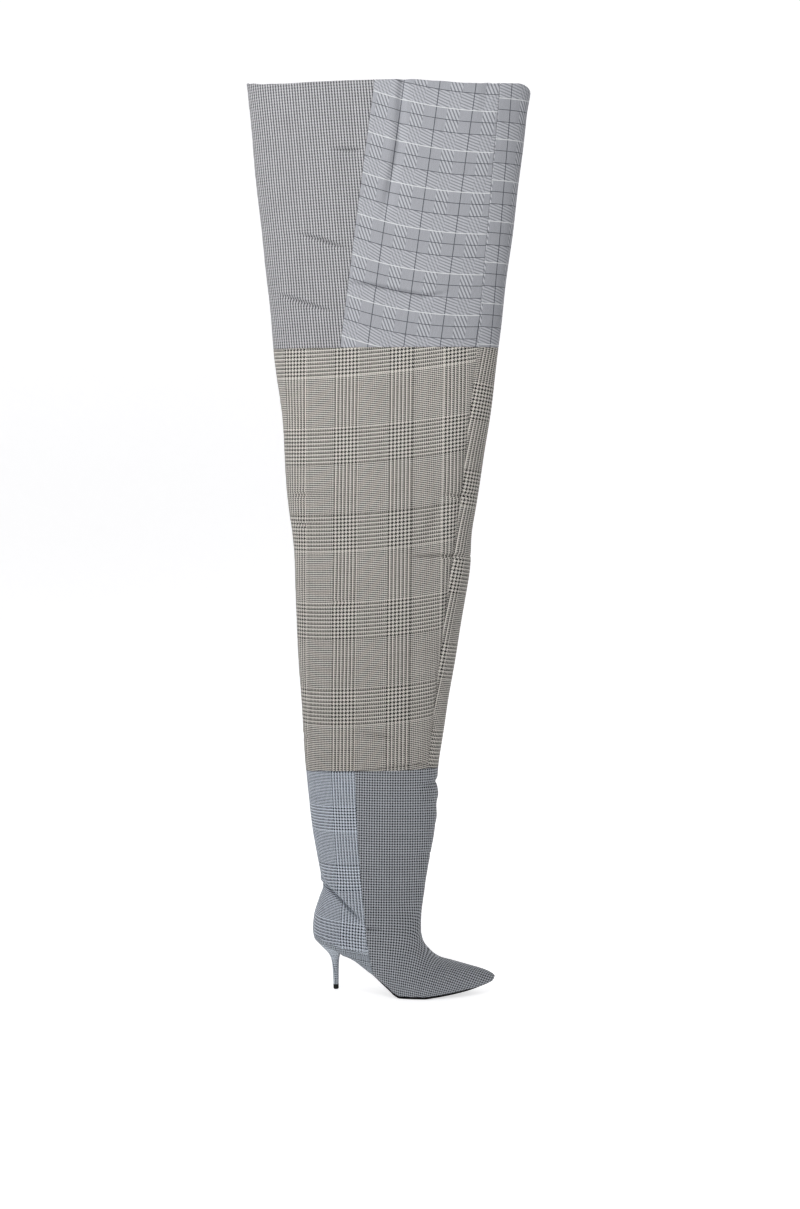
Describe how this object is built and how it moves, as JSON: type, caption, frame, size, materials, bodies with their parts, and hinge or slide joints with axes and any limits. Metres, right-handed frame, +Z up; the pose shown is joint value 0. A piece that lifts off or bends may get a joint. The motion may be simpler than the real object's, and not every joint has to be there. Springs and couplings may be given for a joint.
{
  "type": "thigh-high boot",
  "caption": "Right thigh-high boot of patchwork suiting cloth, with a pointed toe, a slim covered heel, a thin sole and a wide straight shaft open at the collar.",
  "frame": {"origin": "centre of the boot's box on the plane that its sole stands on", "axes": "+X towards the toe, +Z up the shaft, -Y towards the outer side of the leg"},
  "size_m": [0.3782, 0.0969, 1.203],
  "materials": {
    "houndstooth_cloth": "fine dark grey houndstooth wool suiting, matt",
    "glen_cloth": "cream and black glen check wool suiting, matt",
    "grey_cloth": "fine light grey pick-and-pick wool suiting, matt",
    "windowpane_cloth": "light grey wool suiting with a windowpane check, matt",
    "sole_leather": "black sole leather, satin",
    "insole_leather": "dark lining leather, satin",
    "heel_cover": "blue-grey check wool suiting stretched over the heel",
    "lift_rubber": "black rubber, matt"
  },
  "bodies": {
    "root": {"upper": "houndstooth_cloth", "shaft_middle_outer": "glen_cloth", "shaft_middle_inner": "glen_cloth", "shaft_top_rear": "grey_cloth", "shaft_top_front": "windowpane_cloth", "shaft_top_inner": "windowpane_cloth", "outsole": "sole_leather", "insole": "insole_leather", "heel": "heel_cover", "top_lift": "lift_rubber"}
  },
  "joints": []
}
